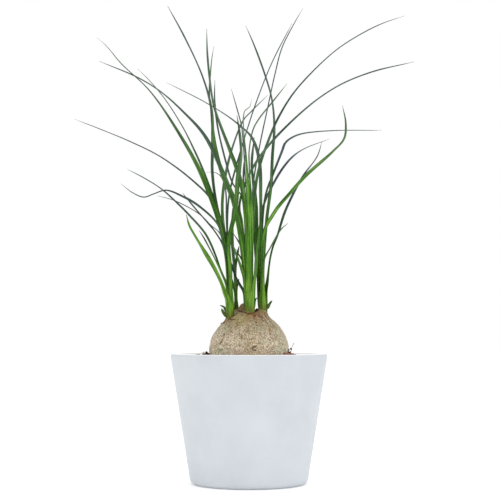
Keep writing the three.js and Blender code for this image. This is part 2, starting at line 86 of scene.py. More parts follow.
# Shoots: foot, radius, the length over which the sheaths open, leaves and bracts. A leaf or bract is [y of
# its tip, width, slant in degrees, hold, tone, then x, z, x, z ... from where it leaves the shoot to its
# tip]. It keeps its width over the part hold of its length. Tone runs from 0, fresh green, to 1, dark; a
# leaf of tone 2 is dark from lower down. The dark is partly the leaf's own deeper green and partly painted
# shade on leaves that lie in shadow or show an edge in shade.
SHOOTS = {
    "shoot_left": {
        "foot": (-16.8, -7, 150.8), "radius": 5.5, "opens": 36,
        "leaves": [
            [25, 5.6, 35, 0.42, 0.35, -19.4, 179, -22, 209, -29, 239, -43.9, 278.8, -65.5, 317.7, -90.4,
             353.6, -116.4, 378.6, -130, 395, -138, 402],
            [60, 4.4, 55, 0.45, 0.45, -18.4, 184, -21, 211, -27.6, 240, -41, 279, -50.5, 301, -60, 320,
             -75, 344, -91, 363.5, -101, 373.5],
            [45, 4.4, 66, 0.8, 0.95, -19, 189, -24, 224, -34, 253.5, -50, 270.5, -80, 293, -110, 308,
             -140, 320.5, -158, 327.5],
            [85, 4.6, 55, 0.68, 0.8, -18, 194, -22, 224, -29, 247, -33.5, 279, -33.3, 309, -34.5, 337, -43,
             368, -60, 405, -74, 431],
            [-45, 4, 64, 0.75, 0.95, -21, 180, -23.6, 186, -26.4, 192.6, -30, 202.8, -39.4, 223, -54.5, 240.5,
             -65, 251, -80, 264.5, -95, 274, -110, 282],
            [-20, 3, 60, 0.6, 0.9, -20.5, 175, -26, 190, -31, 201, -37, 212.5, -41, 220, -45, 226.5],
            [-60, 4.5, 35, 0.6, 0.05, -19.6, 163, -22.2, 170.4, -24.2, 177, -30, 189.7, -40.3, 207.5,
             -49.3, 222.5, -54, 231, -56.6, 241],
            [-30, 4.2, 64, 0.65, 0.95, -20, 184, -23, 211, -28, 231, -45, 248, -60, 257, -75, 262.8, -86,
             259.5, -95, 256.5, -105, 260.5, -116, 269],
            [35, 3.4, 58, 0.7, 0.95, -20, 184, -23.5, 212, -30, 224, -38, 234, -48, 245.5, -55, 254, -60,
             260.5],
            [60, 3.4, 65, 0.7, 0.95, -20, 184, -23, 214, -27, 224.5, -35, 231.5, -44, 240.5, -55, 247.5,
             -70, 254.5, -83, 258],
            [-60, 5, 35, 0.7, 0.3, -16.6, 189, -18.2, 214, -16, 227, -13, 240, -11, 255, -10.3, 267, -8.5,
             284, -7, 297, -9, 319, -11, 331],
            [75, 3.2, 60, 0.45, 0.85, -17.6, 194, -19.3, 231, -17.8, 257, -14, 275, -7, 300, -2.5, 315, 6,
             341, 20, 377, 39, 415],
            [100, 4.6, 50, 0.6, 0.45, -18.6, 189, -20.4, 214, -23, 234, -23.8, 249, -22, 270, -16.5, 296,
             -9, 318, -4, 328, 2, 334.2, 6, 338.5, 17, 349.5],
            [104, 2.4, 60, 0.7, 0.95, -18, 194, -19.8, 219, -20.6, 239, -20.8, 257, -22.5, 269, -27, 277,
             -33, 279.5, -39, 279],
        ],
        "bracts": [
            [-9, 2.4, 30, 0.5, 1, -20.8, 151, -21.4, 154.6, -22.8, 157.6, -26.3, 159],
            [-14, 2.6, 10, 0.6, 1, -18.2, 148.8, -20.7, 149.2, -23.1, 152.4, -24.7, 156.2],
        ],
    },
    "shoot_back_left": {
        "foot": (-11, 9, 156), "radius": 3.1, "opens": 16,
        "leaves": [
            [25, 3.5, 40, 0.6, 0.9, -12.3, 184, -11.3, 199, -9, 212.5],
            [15, 2.8, 50, 0.6, 0.8, -11, 169, -10.5, 176, -9, 183],
            [14, 3.3, 35, 0.6, 0.95, -12.5, 169, -14.5, 177.5, -16.8, 186],
            [70, 4, 40, 0.7, 0.85, -12.2, 177, -13.2, 192, -14.6, 206, -15.6, 221, -14.8, 239, -12.6,
             256],
        ],
        "bracts": [],
    },
    "shoot_centre": {
        "foot": (0.7, -9.5, 155.2), "radius": 5.1, "opens": 50,
        "leaves": [
            [-85, 6.5, 25, 0.25, 0.05, -0.2, 199, 0, 239, -0.8, 267, -2.5, 291, -4.8, 317, -5, 330, -3.5,
             335.7, 0.5, 338.5, 2.5, 346],
            [-60, 3.6, 50, 0.4, 0.25, 3, 199, 2.8, 244, 0.5, 284, 0.3, 299, 4, 318.5, 10, 329, 20, 341.5,
             34.5, 360],
            [-30, 5.2, 55, 0.35, 0.8, 3.4, 199, 4.6, 244, 8.3, 278, 19, 311, 27, 329, 40.4, 351, 60.5,
             373.6, 80.5, 391.6, 100.5, 404.6, 120.4, 414.7, 141, 422],
            [-70, 5.4, 40, 0.48, 0.4, -2.4, 199, -3.4, 239, -8, 271, -17.5, 299, -25, 319, -32, 340, -36,
             366, -38, 389, -38.5, 410],
            [-45, 7, 25, 0.35, 0.1, -3.6, 184, -7.6, 221, -14.2, 254, -25, 280, -31.5, 307, -34.5, 337,
             -36, 351, -34, 381, -32, 394],
            [-75, 5.7, 48, 0.5, 0.7, -3, 189, -7, 224, -13.2, 249, -22.5, 275, -40.3, 312.1, -60.3, 334.6,
             -80.2, 352.5, -100.2, 365, -136, 380.5],
            [20, 3.2, 65, 0.7, 0.85, -1, 214, -5, 254, -15, 269, -20.5, 286, -28.5, 320, -31.3, 344, -31,
             363],
            [70, 3, 65, 0.7, 0.85, -2, 214, -3, 249, -5.2, 273, -3.8, 295],
            [10, 3.3, 36, 0.6, 2, -5, 171.6, -7.8, 176.4, -10.8, 181.8, -12.9, 186.6, -16.5, 198.7],
            [-20, 4, 40, 0.6, 0.85, -4.2, 179, -4.9, 185, -7.2, 192.6, -9.9, 200.5, -12.6, 207, -15.5,
             216],
            [-14, 2.4, 50, 0.6, 0.9, -3.6, 187, -4.6, 195.6, -6.6, 199.8, -9.6, 205.2, -12, 210],
            [5, 3, 55, 0.6, 0.85, -4.4, 189, -7.1, 210.3, -8.6, 214.3, -11.6, 219.8, -14.1, 223.9],
            [-85, 4.4, 62, 0.55, 0.75, -2.4, 194, -6, 234, -8.4, 248, -2.3, 270.6, 12.6, 296.6, 50.7, 336.2,
             80.6, 357.6, 110.6, 370.2, 150, 380],
            [75, 3.1, 66, 0.45, 0.95, 2.4, 214, 4, 267, 10, 304, 17, 337.5, 24, 370, 30, 392.5, 40, 413, 49,
             429],
            [95, 2.6, 66, 0.4, 0.85, -1, 219, -4, 284, -5.8, 311, -7, 322, -10, 333.5, -16, 355],
            [-24, 3.6, 35, 0.6, 0.5, 4.6, 175, 6, 189, 7, 203, 8.5, 219, 10, 235],
        ],
        "bracts": [
            [-13, 2.4, 40, 0.5, 0.9, 5.2, 160, 5.6, 163, 6.2, 164.8, 7.8, 166.2],
        ],
    },
    "shoot_right": {
        "foot": (12.4, 1, 156.4), "radius": 5.2, "opens": 46,
        "leaves": [
            [20, 4.6, 45, 0.5, 0.6, 13, 199, 15.6, 236, 19.5, 267, 20.8, 294, 22.7, 321, 20.5, 346, 15,
             366, 5, 394, -3, 413],
            [100, 5.2, 50, 0.6, 0.7, 9.6, 199, 10.2, 254, 8.5, 292, 2, 311, -8.5, 321.5, -20, 330.5, -40,
             343, -60, 353.5, -75, 361],
            [30, 4.2, 63, 0.85, 1, 12, 214, 15.3, 258, 22.5, 278.5, 30.5, 299, 33, 305.5, 39, 310.5, 48,
             314, 75, 316.9, 120, 317.4],
            [85, 4.4, 55, 0.8, 0.95, 11.5, 214, 12.5, 245, 19.5, 263, 30.6, 282.4, 40.5, 293.9, 50.4,
             300.7, 73, 309.6],
            [-40, 4.4, 42, 0.72, 0.1, 12.2, 199, 13, 219, 15.5, 230, 20.5, 238.5, 26, 247, 35.6, 258.2, 50.8,
             275.2, 76, 298, 86.3, 309.8, 87.8, 324, 84.7, 340],
            [35, 4, 60, 0.8, 0.95, 16, 171, 17, 179, 18, 191, 19.5, 202, 22, 212, 26, 222, 32.4, 242.3,
             40, 259, 50, 277, 62, 294, 66, 307],
            [-15, 3, 58, 0.6, 0.9, 13.4, 198, 20, 212, 25.6, 222.3, 30, 228.5, 35, 233],
            [60, 5.5, 15, 0.6, 0.45, 9, 184, 6.8, 204, 6, 229, 4.8, 262, 2.5, 286, 4.7, 311],
            [-12, 3.6, 30, 0.55, 0.4, 11.6, 184, 11.2, 204, 10.6, 221, 10.9, 237],
        ],
        "bracts": [
            [-3, 4.2, 15, 0.5, 1, 15.4, 155.8, 17.2, 158, 18.7, 160.4, 20.9, 163.4],
        ],
    },
}

# Blade thickness: in the middle and at the edges of the open leaf, and in the middle of the sheath.
BLADE_MIDDLE = 0.5
BLADE_EDGE = 0.2
SHEATH_MIDDLE = 0.9

# A blade's section is an arc: half its angle in radians, in the sheath and in the open leaf, where its
# points lie across it, and how far apart the sections are.
SHEATH_CURL = 1.3
OPEN_CURL = 0.45
ACROSS = (-1.0, -0.72, -0.4, 0.0, 0.4, 0.72, 1.0)
SECTION_SPACING = 2.5

# A blade starts this deep inside the bark, at a part of its sheath's radius that grows to the whole over a
# run. The sheath opens over at most a part of the blade's length.
ROOT_DEPTH = 5.5
ROOT_SHEATH = 0.88
ROOT_RUN = 11.0
OPEN_PART = 0.4

# The open leaf starts at a part of its width, and has all of it from a part of its length on.
ROOT_BREADTH = 0.62
ROOT_PART = 0.6

# The blunt tip: its breadth on a leaf with at least this hold, the least part of that on others, over what
# part of the length it rounds off, and the part of it left at the very end.
TIP_BREADTH = 2.5
TIP_HOLD = 0.6
TIP_LEAST = 0.4
TIP_PART = 0.1
TIP_END = 0.2

# Where along a leaf its slant is met, its slight twist in radians, the ripple of its breadth, and how many
# radians of each wave a leaf holds.
SLANT_AT = 0.45
TWIST = 0.14
TWIST_PACE = 9
RIPPLE = 0.03
RIPPLE_PACE = 23

# Sheaths stand at a part of the shoot's radius, less up to the nesting for leaves that leave it higher up,
# which begins this far over the foot and is whole after the rise. Bracts are thicker than leaves.
SHEATH_OUTER = 0.84
SHEATH_NESTING = 0.32
NESTING_FROM = 15.0
NESTING_RISE = 60.0
SHEATH_BRACT = 0.7
BRACT_OPENS = 4
BRACT_STOUT = 2.2

# The height over a shoot's foot at which the sheaths' yellow-green ends, how much of it a bract has, and
# from where and over what height the foot's olive brown fades.
SHEATH_GREEN = 55
BRACT_GREEN = 0.3
HUSK_FROM = 0.8
HUSK_HEIGHT = 4.0

# Each blade's number seeds its twist, ripple and streaks: the step between shoots, and where bracts begin.
SHOOT_LOTS = 31
BRACT_LOTS = 25

# The dry stump between the shoots: x, y, radius, top.
STUMP = (-3.9, 5.0, 6.6, 161.4)

# Lumps of soil that stand proud: x, y, size. The first ones are warm, which is reddish and paler.
CRUMBS = [
    (33, -16, 3.6), (36, -10, 3.9), (38, -14, 3.4), (39.6, -8, 2.9), (-37.5, -8, 2.8),
    (-40, -3, 2.9), (-46, 6, 3), (-40, 10, 2.6), (41, 8, 2.4), (-50, -20, 2.4),
    (50, 14, 2.6), (14, -50, 2.6), (-18, -49, 2.8), (-8, 48, 3), (22, 45, 2.6),
    (-30, 40, 2.8), (44, -30, 2.6), (-34, -38, 2.6), (3, 55, 2.4),
]
WARM_CRUMBS = 4

# Small crumbs strewn over the soil: number, sizes and seed, and the rings and sides of every lump.
LOOSE_CRUMBS = 1400
CRUMB_SIZES = (0.5, 0.7, 0.9, 1.2, 1.6)
CRUMB_SEED = 11
LUMP_RINGS = 5
LUMP_SIDES = 9

# Small dark crumbs that cling to the bulb or lie on top: x, y, z, size.
CLINGING = [
    (34.2, -6, 122.5, 0.9), (35.2, -6, 119, 1.2), (37.4, -8, 120.2, 0.9), (37.9, -8, 119.3, 0.6),
    (-37.9, -8, 116.9, 1.2), (-36.8, -9, 115.6, 1.3), (-40.3, -5, 117.2, 0.6), (-40.9, -8, 115, 0.6),
    (-24.5, -1, 142.7, 1), (-41.9, -3, 116.4, 0.5),
    (37.2, -9, 117.7, 0.7), (35.6, -12, 117.3, 0.8), (7.1, -4, 155.3, 1.3),
]

# A loose root: its points, radius, how much thicker its end is, and its sides.
LOOSE_ROOT = [(37.6, -8, 120.4), (38.6, -8.3, 122.2), (39.3, -8.6, 123.8), (40, -9, 125.2)]
FIBRE_RADIUS = 0.22
FIBRE_KNOB = 0.16
FIBRE_SIDES = 6

# Marks on the bark as seen from the front, drawn at the plane y = 0: kind, half width, depth, then
# x, z, x, z ... of a line, in millimetres. Creases are dark brown, stains rusty and pale marks chalky.
BARK_MARKS = [
    ("crease", 0.75, 0.6, -9.9, 154.2, -5.7, 153.7, -3.3, 152.8, 0.3, 152.2, 3.9, 153, 5.7, 153.9,
     7.4, 155.6),
    ("crease", 0.8, 0.4, -21.2, 148.8, -17.7, 148.4, -15.6, 149.2, -12.6, 150.6),
    ("crease", 0.55, 0.4, -19.2, 147.6, -16.4, 146.2, -12.8, 146.3),
    ("crease", 0.8, 0.3, -17.8, 148.3, -16.4, 147.6),
    ("olive", 1.3, 0, -15.4, 147.8, -13.4, 147.6),
    ("crease", 0.4, 0.4, 6.6, 153.2, 6, 151.2, 5.4, 149),
    ("crease", 0.35, 0.3, 8.6, 154.2, 8.9, 151.8, 8.7, 149.4),
    ("crease", 0.35, 0.3, 9.2, 151.6, 11, 148.6, 13.5, 144),
    ("crease", 0.3, 0.25, 11.8, 153.4, 11.3, 150.6, 10.6, 148.5),
    ("crease", 0.35, 0.25, 14, 151.6, 16.4, 147.6, 19, 144.2),
    ("crease", 0.3, 0.2, 4.6, 148, 6.4, 145.2, 7.5, 141),
    ("crease", 0.3, 0.2, -14, 146.6, -16.5, 143.4, -18.6, 139.6),
    ("crease", 0.3, 0.2, -9.5, 148, -10.6, 143.6, -12.6, 139),
    ("crease", 0.66, 0.45, 6.1, 121.5, 5.2, 122.1, 4, 121.7, 3.2, 120.4, 3.8, 119, 5, 118.5, 6.1, 119),
    ("stain", 0.6, 0.25, -22.4, 133.8, -23.1, 130.1, -24.7, 126.9, -26.3, 124.4),
    ("crease", 0.6, 0.3, -22.5, 133.4, -22.6, 132.9),
    ("crease", 0.5, 0.3, -25.2, 126.2, -26.4, 124.2),
    ("pale", 0.6, 0, 4.8, 120.3, 5.9, 120.3),
    ("crease", 0.3, 0.25, -6.2, 132.1, -7.2, 130.3, -5.9, 128.5),
    ("crease", 0.45, 0.2, -15.8, 135.8, -15.5, 135.5),
    ("crease", 0.45, 0.2, 13.5, 134, 13.8, 133.7),
    ("crease", 0.4, 0.2, 6.9, 144.2, 7.1, 143.8),
    ("crease", 0.5, 0.2, -10.9, 141.9, -10.4, 141.3),
    ("crease", 0.7, 0.3, -23.3, 143.3, -22.9, 143.9),
    ("crease", 0.35, 0.2, -28.5, 121.5, -27.6, 120.5, -28.3, 119.2),
    ("crease", 0.42, 0.3, 8.2, 150.9, 10.2, 147.8, 13, 145.3, 14.1, 143.6),
    ("crease", 0.36, 0.3, 10.4, 149.8, 13.9, 147, 16.1, 144.1, 18.4, 139.6),
    ("crease", 0.3, 0.25, 14.4, 150.3, 17.8, 146.4, 20.6, 142.5, 22.9, 138.6),
    ("crease", 0.5, 0.35, 4.6, 150.6, 5, 149),
    ("crease", 0.3, 0.2, 4.3, 147.6, 6, 144.7, 7.7, 141.3),
    ("crease", 0.26, 0.15, 17.8, 138.6, 18.9, 134.6, 20.3, 132.3),
    ("crease", 0.26, 0.15, -0.2, 142.5, -0.8, 137.4, -3.6, 132.3),
    ("crease", 0.28, 0.15, 22.6, 136.2, 25, 131.6, 26.6, 127.4),
    ("crease", 0.28, 0.15, -9.4, 139, -10.8, 134.4, -11, 130.6),
    ("stain", 0.8, 0, -6.7, 131.2, -6.2, 129.2),
    ("stain", 2.4, 0, -8.5, 157.2, -5, 158.4),
    ("stain", 0.8, 0, 18.2, 137.6, 19, 133.8),
    ("stain", 3.4, 0, -4, 149.5, 0, 148.8, 4, 149.6),
    ("stain", 2.8, 0, 8, 151.5, 12, 150.5),
    ("stain", 1.6, 0, -2, 151, 6, 151.4),
    ("stain", 2.2, 0, -17.5, 144.5, -12, 145),
    ("tan", 6, 0, -14, 140, -4, 143.5, 8, 144, 18, 140),
    ("olive", 2.0, 0, -15.3, 149.4, -12.6, 147.4),
    ("olive", 4.4, 0, -12.5, 147.6, -4.5, 147),
    ("olive", 2.0, 0, 9.5, 154.5, 14.5, 154),
    ("tan", 9, 0, 1, 138, 3, 118),
]

# Marks are felt within this many half widths, where y is below the front's end. Those with a half width
# under the thin one are broken up. The stump is stained from this height on.
MARK_REACH = 2.2
FRONT_END = 8.0
THIN_MARK = 0.43
STUMP_STAIN = 154.0

# The bark's rings and sides. Most rings lie between the bulb's top and a little below the soil.
BULB_RINGS = 250
BULB_SIDES = 390
SEEN_PART = 0.85
SEEN_TILT = math.radians(116)


def lerp(a, b, t):
    return a + (b - a) * t


def clamp(value, low=0.0, high=1.0):
    return max(low, min(high, value))


# ---- meshes ----

def make_piece(name, points_mm, faces, material, node=None):
    """A smooth mesh from points in millimetres, which rides with the plant and may replace a node."""
    mesh = bpy.data.meshes.new(name)
    mesh.from_pydata([(x * MM, y * MM, z * MM) for x, y, z in points_mm], [], faces)
    mesh.validate()
    mesh.polygons.foreach_set("use_smooth", [True] * len(mesh.polygons))
    mesh.materials.append(material)
    piece = bpy.data.objects.new(name, mesh)
    bpy.context.scene.collection.objects.link(piece)
    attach(piece, "root")
    if node:
        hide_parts(node)
    return piece


def paint(piece, name, values):
    """Stores one colour a vertex on the mesh."""
    attribute = piece.data.color_attributes.new(name, "FLOAT_COLOR", "POINT")
    attribute.data.foreach_set("color", [c for value in values for c in value])


def arc(centre_radius, centre_height, radius, start, end, steps):
    """Points (radius, height) on an arc from one angle to another, in degrees."""
    points = []
    for i in range(steps + 1):
        angle = math.radians(lerp(start, end, i / steps))
        points.append((centre_radius + radius * math.cos(angle), centre_height + radius * math.sin(angle)))
    return points


def turned(profile, segments, shift=None):
    """A closed solid of revolution from (radius, height) points that start and end on the axis."""
    rings = profile[1:-1]
    points = [(0.0, 0.0, profile[0][1])]
    for radius, height in rings:
        for k in range(segments):
            angle = 2 * math.pi * k / segments
            points.append((radius * math.cos(angle), radius * math.sin(angle), height))
    points.append((0.0, 0.0, profile[-1][1]))
    if shift:
        points = [shift(point) for point in points]
    faces = []
    last = len(points) - 1
    for k in range(segments):
        after = (k + 1) % segments
        faces.append((0, 1 + after, 1 + k))
        for i in range(len(rings) - 1):
            here = 1 + i * segments
            above = here + segments
            faces.append((here + k, here + after, above + after, above + k))
        top = 1 + (len(rings) - 1) * segments
        faces.append((top + k, top + after, last))
    return points, faces


def ball_directions(tilts, sides, turn=0.0):
    """Directions from the top to the bottom, one at each pole and a ring of them at each tilt between."""
    directions = [Vector((0, 0, 1))]
    for tilt in tilts:
        for k in range(sides):
            angle = 2 * math.pi * k / sides + turn
            across = math.sin(tilt)
            directions.append(Vector((across * math.cos(angle), across * math.sin(angle), math.cos(tilt))))
    directions.append(Vector((0, 0, -1)))
    return directions


def ball_faces(rings, sides, start=0):
    """The faces over those directions, for points that begin at the index start."""
    faces = []
    bottom = start + 1 + rings * sides
    for k in range(sides):
        after = (k + 1) % sides
        faces.append((start, start + 1 + k, start + 1 + after))
        for i in range(rings - 1):
            here = start + 1 + i * sides
            faces.append((here + k, here + sides + k, here + sides + after, here + after))
        faces.append((bottom - sides + k, bottom, bottom - sides + after))
    return faces


def fractal(x, y, z, scale, octaves=4, seed=0.0):
    """Noise from about -1 to 1, with features about scale millimetres across."""
    place = Vector((x / scale + seed, y / scale + 2.3 * seed, z / scale - 1.7 * seed))
    return noise.fractal(place, 1.0, 2.0, octaves, noise_basis="PERLIN_ORIGINAL")


# ---- materials ----

WHITE = (1.0, 1.0, 1.0, 1.0)

# How strongly the pot's inner wall glows: painted light that lifts the shade inside the pot.
PAINTED_WALL_GLOW = 0.27

# The bark's colour is lifted downwards between these heights, in metres, by these factors: painted light
# against the shade on the bulb's lower part.
PAINTED_LIFT_HEIGHTS = (0.142, 0.114)
PAINTED_LIFT = (1.64, 1.65, 1.72, 1.0)

# The Mix node's sockets for colours, factor first, and its colour output.
MIX_INPUTS = (0, 6, 7)
MIX_OUTPUT = 2


def srgb(red, green, blue):
    """A colour as the photograph's numbers, as linear light."""
    def linear(value):
        value /= 255
        return value / 12.92 if value <= 0.04045 else ((value + 0.055) / 1.055) ** 2.4
    return (linear(red), linear(green), linear(blue), 1.0)


class Look:
    """A node-based material, with short calls that add a node and return what comes out of it."""

    def __init__(self, name):
        self.material = bpy.data.materials.new(name)
        self.material.use_nodes = True
        self.tree = self.material.node_tree

    def put(self, socket, value):
        """Links a node's output to the socket, or sets the socket itself to a constant."""
        if isinstance(value, bpy.types.NodeSocket):
            self.tree.links.new(value, socket)
        else:
            socket.default_value = value

    def fill(self, node, inputs):
        """Fills a node's inputs. Their names are written with _ for a space."""
        for name, value in inputs.items():
            self.put(node.inputs[name.replace("_", " ")], value)
        return node

    def add(self, kind, **inputs):
        return self.fill(self.tree.nodes.new("ShaderNode" + kind), inputs)

    def shade(self, **inputs):
        """Fills the shader's inputs and returns the material."""
        self.fill(self.tree.nodes["Principled BSDF"], inputs)
        return self.material

    def place(self):
        return self.add("TexCoord").outputs["Object"]

    def attribute(self, name):
        node = self.add("Attribute")
        node.attribute_name = name
        return node.outputs

    def channels(self, colour):
        return self.add("SeparateColor", Color=colour).outputs[:3]

    def height(self, place):
        return self.add("SeparateXYZ", Vector=place).outputs["Z"]

    def mapped(self, vector, scale):
        return self.add("Mapping", Vector=vector, Scale=scale).outputs["Vector"]

    def noise(self, vector, scale, detail, roughness=0.55, distortion=0.0):
        node = self.add("TexNoise", Vector=vector, Scale=scale, Detail=detail, Roughness=roughness,
                        Distortion=distortion)
        return node.outputs["Fac"]

    def ramp(self, factor, *stops):
        """A colour ramp from (position, colour) stops."""
        node = self.add("ValToRGB", Fac=factor)
        elements = node.color_ramp.elements
        while len(elements) < len(stops):
            elements.new(0.5)
        for element, (position, colour) in zip(elements, stops):
            element.position = position
            element.color = colour
        return node.outputs["Color"]

    def maths(self, operation, *values):
        node = self.add("Math")
        node.operation = operation
        for socket, value in zip(node.inputs, values):
            self.put(socket, value)
        return node.outputs[0]

    def mix(self, factor, first, second, blend="MIX"):
        node = self.add("Mix")
        node.data_type = "RGBA"
        node.blend_type = blend
        for index, value in zip(MIX_INPUTS, (factor, first, second)):
            self.put(node.inputs[index], value)
        return node.outputs[MIX_OUTPUT]

    def tint(self, base, mask, amount, colour):
        """The base with as much of the colour as the mask times the amount says."""
        return self.mix(self.maths("MULTIPLY", mask, amount), base, colour)

    def spread(self, value, low, high):
        """The value's range from low to high stretched to 0 to 1, with a soft start and end."""
        node = self.add("MapRange", Value=value, From_Min=low, From_Max=high)
        node.interpolation_type = "SMOOTHSTEP"
        return node.outputs["Result"]

    def bump(self, height, distance, strength=1.0):
        node = self.add("Bump", Height=height, Distance=distance, Strength=strength)
        return node.outputs["Normal"]


def pot_material():
    """Pale blue-white; the inner wall is paler and glows, painted light against the shade inside the pot."""
    look = Look("pot_matte_white")
    place = look.place()
    cloud = look.noise(place, 28, 3)
    grain = look.noise(place, 1400, 2)
    outside = look.ramp(cloud, (0.3, srgb(194, 199, 204)), (0.7, srgb(202, 207, 212)))
    # The inner wall's near-white is painted light against the shade inside the pot.
    painted_lit_inside = look.ramp(cloud, (0.3, srgb(250, 251, 252)), (0.7, srgb(253, 253, 254)))
    inner = look.attribute("inner")["Fac"]
    return look.shade(
        Base_Color=look.mix(inner, outside, painted_lit_inside),
        Emission_Color=WHITE,
        Emission_Strength=look.maths("MULTIPLY", inner, PAINTED_WALL_GLOW),
        Roughness=look.maths("MULTIPLY_ADD", look.spread(cloud, 0.0, 1.0), 0.1, 0.5),
        Specular_IOR_Level=0.3,
        Normal=look.bump(grain, 0.00008, 0.5),
    )


def soil_material():
    """Dark crumbly peat with reddish patches and single grains; salmon and wet dark crumbs."""
    look = Look("soil_potting_mix")
    place = look.place()
    clods = look.noise(place, 160, 5, 0.7)
    fibre = look.noise(look.mapped(place, (1.0, 0.25, 1.0)), 900, 4, 0.7)
    warm = look.noise(place, 60, 2)
    grains = look.add("TexVoronoi", Vector=place, Scale=620).outputs
    shade = look.channels(grains["Color"])[0]
    dark = look.ramp(clods, (0.3, srgb(34, 24, 22)), (0.5, srgb(66, 48, 42)), (0.72, srgb(112, 86, 74)))
    dark = look.mix(look.spread(shade, 0.55, 0.9), dark, srgb(120, 92, 74))
    dark = look.mix(look.spread(shade, 0.4, 0.1), dark, srgb(30, 21, 18))
    red = look.ramp(fibre, (0.3, srgb(70, 48, 42)), (0.7, srgb(158, 116, 104)))
    colour = look.mix(look.spread(warm, 0.35, 0.7), dark, red)
    salmon = look.ramp(
        fibre,
        (0.34, srgb(74, 42, 36)), (0.5, srgb(142, 92, 80)), (0.66, srgb(228, 184, 170)),
    )
    warm_crumb, wet_crumb, _ = look.channels(look.attribute("crumb")["Color"])
    colour = look.mix(warm_crumb, colour, salmon)
    colour = look.tint(colour, wet_crumb, 0.75, srgb(44, 28, 24))
    rough = look.maths("SUBTRACT", look.maths("ADD", clods, fibre), grains["Distance"])
    return look.shade(Base_Color=colour, Roughness=0.95, Specular_IOR_Level=0.15,
                      Normal=look.bump(rough, 0.0012))


def bulb_material():
    """Grey-tan bark: fine worm-like flecks, pale cork, brown creases from the neck; painted light lifts its
    lower part.
    """
    look = Look("bulb_bark")
    place = look.place()
    marks = look.attribute("bark")
    stain, crease, olive = look.channels(marks["Color"])
    tan = marks["Alpha"]
    broad = look.noise(place, 70, 3)
    patches = look.noise(place, 400, 3, 0.6, 0.8)
    worms = look.noise(place, 700, 2, 0.5, 2.4)
    threads = look.noise(look.mapped(place, (1.0, 1.0, 1.7)), 1050, 2, 0.5, 1.6)
    grain = look.noise(place, 1500, 3, 0.7)
    base = look.ramp(
        patches,
        (0.32, srgb(145, 130, 102)), (0.45, srgb(178, 164, 136)), (0.56, srgb(200, 188, 162)),
        (0.68, srgb(216, 206, 184)),
    )
    greenish = look.mix(0.5, base, srgb(172, 176, 142))
    base = look.mix(look.spread(broad, 0.5, 0.62), base, greenish)
    pinkish = look.mix(0.4, base, srgb(196, 170, 150))
    base = look.mix(look.spread(broad, 0.5, 0.4), base, pinkish)
    base = look.tint(base, tan, 0.6, srgb(172, 150, 112))
    base = look.tint(base, look.spread(worms, 0.47, 0.4), 0.85, srgb(98, 80, 52))
    base = look.tint(base, look.spread(threads, 0.45, 0.37), 0.8, srgb(92, 74, 50))
    base = look.tint(base, look.spread(worms, 0.57, 0.65), 0.7, srgb(240, 232, 214))
    # Painted light: the colour grows lighter towards the soil, against the shade on the bulb's lower part.
    base = look.mix(look.spread(look.height(place), *PAINTED_LIFT_HEIGHTS), base, PAINTED_LIFT, "MULTIPLY")
    rust = look.ramp(patches, (0.35, srgb(106, 70, 40)), (0.6, srgb(160, 122, 78)))
    base = look.tint(base, stain, 0.85, rust)
    moss = look.ramp(patches, (0.35, srgb(132, 122, 76)), (0.65, srgb(184, 178, 128)))
    base = look.tint(base, olive, 0.7, moss)
    # Tan is below 0 on a pale mark.
    base = look.tint(base, tan, -0.5, srgb(236, 226, 204))
    base = look.mix(crease, base, srgb(88, 54, 20))
    rough = look.maths("MULTIPLY_ADD", worms, 0.8, grain)
    return look.shade(Base_Color=base, Roughness=0.88, Specular_IOR_Level=0.15,
                      Normal=look.bump(rough, 0.0007, 0.9))


def leaf_material():
    """Lengthwise veins and streaks, the streaks partly painted fold shade; yellow-green in the sheath, fresh
    to dark green, the dark partly painted shade, slate at the far end.
    """
    look = Look("leaf_green")
    kind = look.attribute("leaf")
    tone_and_shade, low, far = look.channels(kind["Color"])
    blade = look.attribute("blade")["Vector"]
    # The streaks are partly the leaf's own lengthwise stripes and partly painted shade and light for its
    # fold.
    streaks_and_shade = look.noise(look.mapped(blade, (2.6, 3.0, 40.0)), 1.0, 3, 0.6)
    veins = look.noise(look.mapped(blade, (18.0, 3.0, 40.0)), 1.0, 2, 0.5)
    blotch = look.noise(look.mapped(blade, (0.8, 16.0, 40.0)), 1.0, 3, 0.6)

    def shades(dark, middle, light):
        return look.ramp(streaks_and_shade, (0.36, srgb(*dark)), (0.5, srgb(*middle)), (0.64, srgb(*light)))

    fresh = shades((32, 78, 6), (66, 120, 18), (112, 164, 52))
    fresh_sheath = shades((56, 94, 12), (90, 136, 28), (134, 174, 60))
    fresh_far = shades((50, 72, 44), (76, 100, 66), (108, 130, 98))
    dark = shades((16, 44, 14), (32, 70, 30), (62, 102, 56))
    dark_sheath = shades((32, 70, 8), (58, 104, 22), (98, 142, 48))
    dark_far = shades((32, 46, 50), (50, 66, 74), (80, 98, 106))
    # The dark copies are partly the leaf's own deeper green and partly painted shade on leaves in shadow.
    colour = look.mix(tone_and_shade, fresh, dark)
    colour = look.mix(low, colour, look.mix(tone_and_shade, fresh_sheath, dark_sheath))
    colour = look.mix(far, colour, look.mix(tone_and_shade, fresh_far, dark_far))
    colour = look.tint(colour, look.spread(veins, 0.54, 0.7), 0.2, srgb(140, 170, 100))
    colour = look.tint(colour, look.spread(blotch, 0.52, 0.75), 0.35, srgb(24, 48, 20))
    colour = look.tint(colour, kind["Alpha"], 0.6, srgb(94, 92, 36))
    return look.shade(Base_Color=colour, Roughness=0.5, Specular_IOR_Level=0.16,
                      Normal=look.bump(veins, 0.00025, 0.6))


def root_material():
    look = Look("root_dry")
    grain = look.noise(look.place(), 900, 3)
    colour = look.ramp(grain, (0.35, srgb(140, 130, 126)), (0.65, srgb(196, 188, 184)))
    return look.shade(Base_Color=colour, Roughness=0.9)


